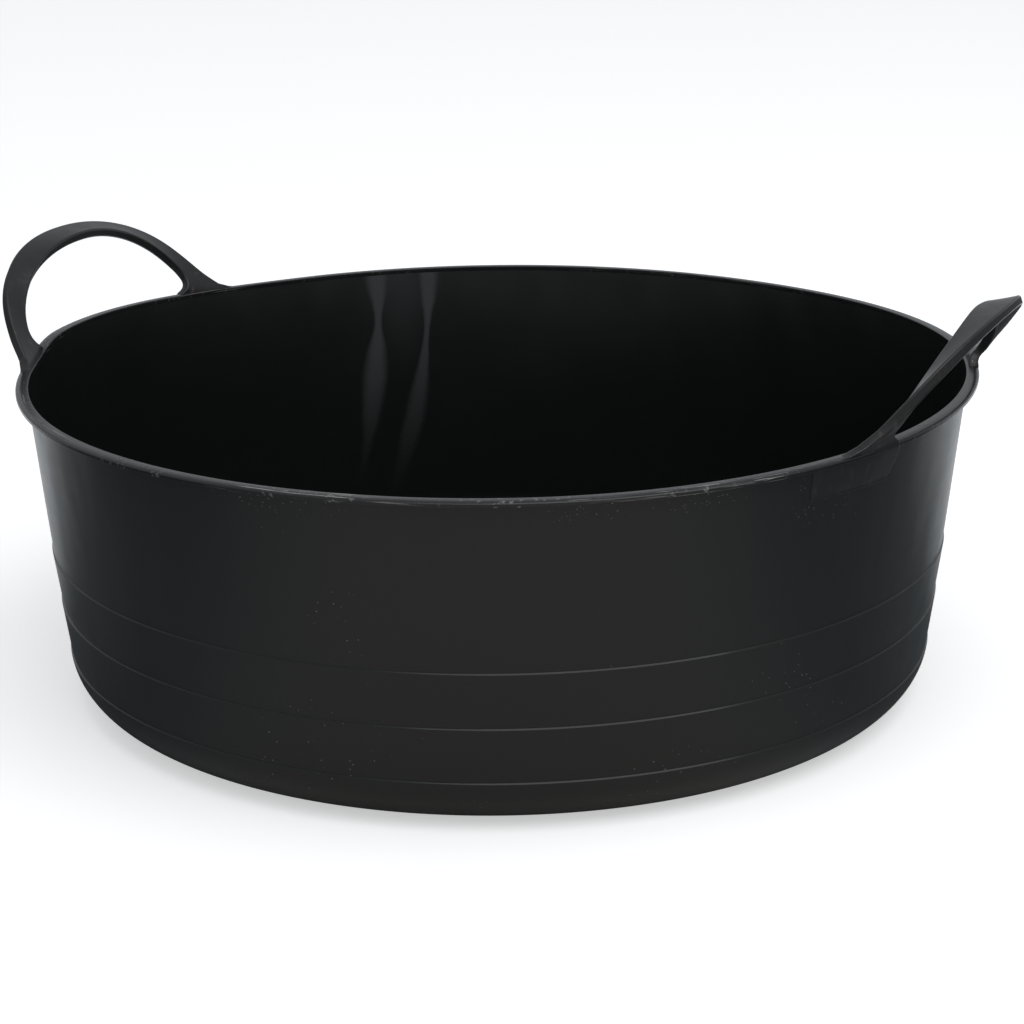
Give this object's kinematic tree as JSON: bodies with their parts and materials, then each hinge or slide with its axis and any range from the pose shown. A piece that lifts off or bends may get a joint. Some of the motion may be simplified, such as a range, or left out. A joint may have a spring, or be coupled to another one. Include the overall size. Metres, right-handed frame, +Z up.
{
  "type": "flexible tub",
  "caption": "Shallow round flexible feed tub with a drafted wall, a rolled lip and two looped strap handles that bend at their feet.",
  "frame": {"origin": "centre of the underside, on the plane that the tub stands on", "axes": "+Z up through the open mouth; the two handles lie on +X (right) and -X (left); -Y is the front"},
  "size_m": [0.4544, 0.42, 0.1846],
  "materials": {
    "tub": "satin black polyethylene, glossier inside",
    "rim": "satin black polyethylene, scuffed on top",
    "handle": "satin black polyethylene, scuffed at the feet"
  },
  "bodies": {
    "tub": {"tub_shell": "tub", "rim_lip": "rim", "right_front_handle_root": "handle", "right_rear_handle_root": "handle", "left_front_handle_root": "handle", "left_rear_handle_root": "handle", "right_front_handle_leg": "handle", "right_rear_handle_leg": "handle", "left_front_handle_leg": "handle", "left_rear_handle_leg": "handle"},
    "right_handle": {"right_handle_grip": "handle"},
    "left_handle": {"left_handle_grip": "handle"}
  },
  "joints": [
    {"name": "right_handle_flex", "type": "hinge", "parent": "tub", "child": "right_handle", "pos_m": [0.20016, 0, 0.14818], "axis": [0, -1, 0], "range_deg": [-35, 60], "stiffness_Nm_per_rad": 0.8, "deforming": ["right_front_handle_leg", "right_rear_handle_leg"]},
    {"name": "left_handle_flex", "type": "hinge", "parent": "tub", "child": "left_handle", "pos_m": [-0.20016, 0, 0.14818], "axis": [0, 1, 0], "range_deg": [-35, 60], "stiffness_Nm_per_rad": 0.8, "deforming": ["left_front_handle_leg", "left_rear_handle_leg"]}
  ]
}
